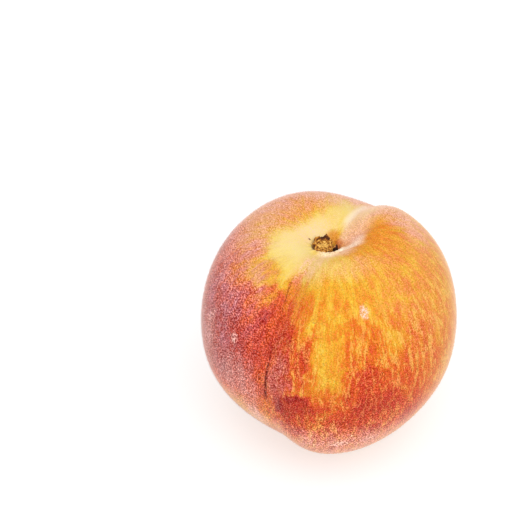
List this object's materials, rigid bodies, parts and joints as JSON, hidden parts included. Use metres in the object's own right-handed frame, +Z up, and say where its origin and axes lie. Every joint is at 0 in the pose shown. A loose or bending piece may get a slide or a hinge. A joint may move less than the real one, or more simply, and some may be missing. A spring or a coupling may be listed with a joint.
{
  "type": "peach",
  "caption": "Whole ripe yellow-fleshed peach with blushed downy skin, a deep stem cavity with a broken stalk stub, and a suture groove, resting on its blossom end.",
  "frame": {"origin": "on the table under the middle of the fruit, at the level of the flat spot at the blossom end", "axes": "+Z up the core line towards the stalk, the suture runs down the -Y side, +X towards the larger right lobe"},
  "size_m": [0.0752, 0.0752, 0.0719],
  "materials": {
    "peach_skin": "thin natural skin under short pale down, no gloss",
    "stalk_wood": "raw broken wood"
  },
  "bodies": {
    "root": {"fruit": "peach_skin", "stem_stub": "stalk_wood"}
  },
  "joints": []
}
